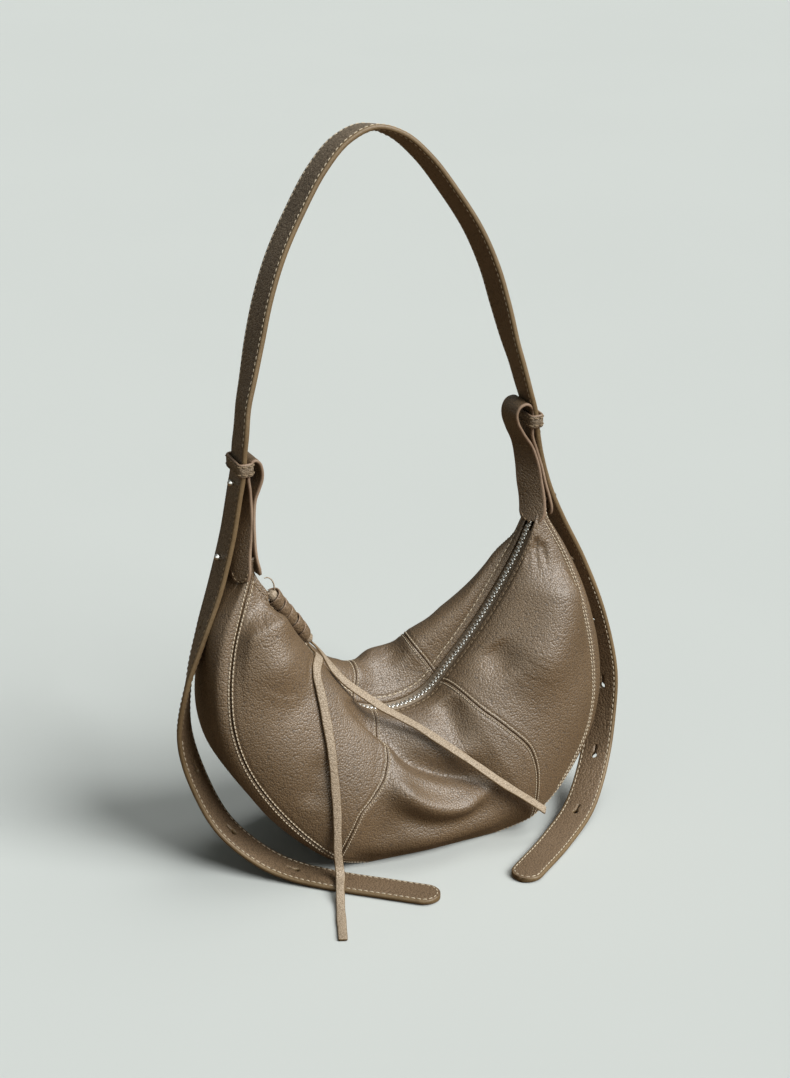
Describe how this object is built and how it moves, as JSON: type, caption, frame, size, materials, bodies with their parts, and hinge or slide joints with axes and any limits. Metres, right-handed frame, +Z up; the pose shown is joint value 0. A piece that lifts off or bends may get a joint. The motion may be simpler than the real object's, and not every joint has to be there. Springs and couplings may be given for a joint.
{
  "type": "half-moon leather shoulder bag",
  "caption": "Soft half-moon leather bag with a curved metal zip, a wound leather pull with hanging laces, and an adjustable strap held by tabs, sliding keepers and ball studs.",
  "frame": {"origin": "on the flat base of the gusset, midway between the front and back panels, below the dip of the zip", "axes": "+Z up through the strap, -Y out of the front panel, +X to the right horn seen from the front"},
  "size_m": [0.3562, 0.2002, 0.5301],
  "materials": {
    "body_leather": "soft pebbled taupe leather with a satin sheen",
    "strap_leather": "pebbled brown-taupe leather with painted tan edges",
    "lace_leather": "pale matt leather lacing",
    "lining_cloth": "plain woven lining",
    "tape_cloth": "herringbone zip tape",
    "silver": "polished silver metal"
  },
  "bodies": {
    "bag": {"panel_front_left": "body_leather", "panel_front_centre": "body_leather", "panel_front_right": "body_leather", "panel_back_left": "body_leather", "panel_back_centre": "body_leather", "panel_back_right": "body_leather", "gusset": "body_leather", "lining_front": "lining_cloth", "lining_back": "lining_cloth", "lining_gusset": "lining_cloth", "zip_tape_front": "tape_cloth", "zip_tape_back": "tape_cloth", "zip_teeth_front": "silver", "zip_teeth_back": "silver", "zip_stop_front": "silver", "zip_stop_back": "silver", "zip_stop_end": "silver", "strap_tail_left": "strap_leather", "strap_tail_right": "strap_leather", "stud_left_1": "silver", "stud_left_2": "silver", "stud_right_1": "silver", "stud_right_2": "silver", "tab_left": "body_leather", "tab_right": "body_leather", "lace_left": "lace_leather", "lace_right": "lace_leather"},
    "shoulder_strap": {"strap_arch": "strap_leather"},
    "zip_pull": {"zip_slider": "silver", "pull_cord": "lace_leather", "pull_wrap": "lace_leather"},
    "tail_tip_left": {"strap_tip_left": "strap_leather"},
    "tail_tip_right": {"strap_tip_right": "strap_leather"},
    "keeper_band_left": {"keeper_left": "strap_leather"},
    "keeper_band_right": {"keeper_right": "strap_leather"}
  },
  "joints": [
    {"name": "handle_swing", "type": "hinge", "parent": "bag", "child": "shoulder_strap", "pos_m": [0, 0.012, 0.33], "axis": [1, 0, 0], "range_deg": [-75, 95]},
    {"name": "zip_travel", "type": "slide", "parent": "bag", "child": "zip_pull", "axis": [0.5624, 0, -0.8269], "range_m": [0, 0.04], "deforming": ["lace_left", "lace_right"]},
    {"name": "tail_left_lift", "type": "hinge", "parent": "bag", "child": "tail_tip_left", "pos_m": [-0.05961, -0.07611, 0.0021], "axis": [-0.644, -0.7651, 0], "range_deg": [0, 60]},
    {"name": "tail_right_lift", "type": "hinge", "parent": "bag", "child": "tail_tip_right", "pos_m": [0.094, -0.08032, 0.00215], "axis": [-0.6266, 0.7794, 0], "range_deg": [0, 60]},
    {"name": "keeper_left_slide", "type": "slide", "parent": "bag", "child": "keeper_band_left", "axis": [0, 0, 1], "range_m": [-0.003, 0.004]},
    {"name": "keeper_right_slide", "type": "slide", "parent": "bag", "child": "keeper_band_right", "axis": [0, 0, 1], "range_m": [-0.003, 0.004]}
  ]
}
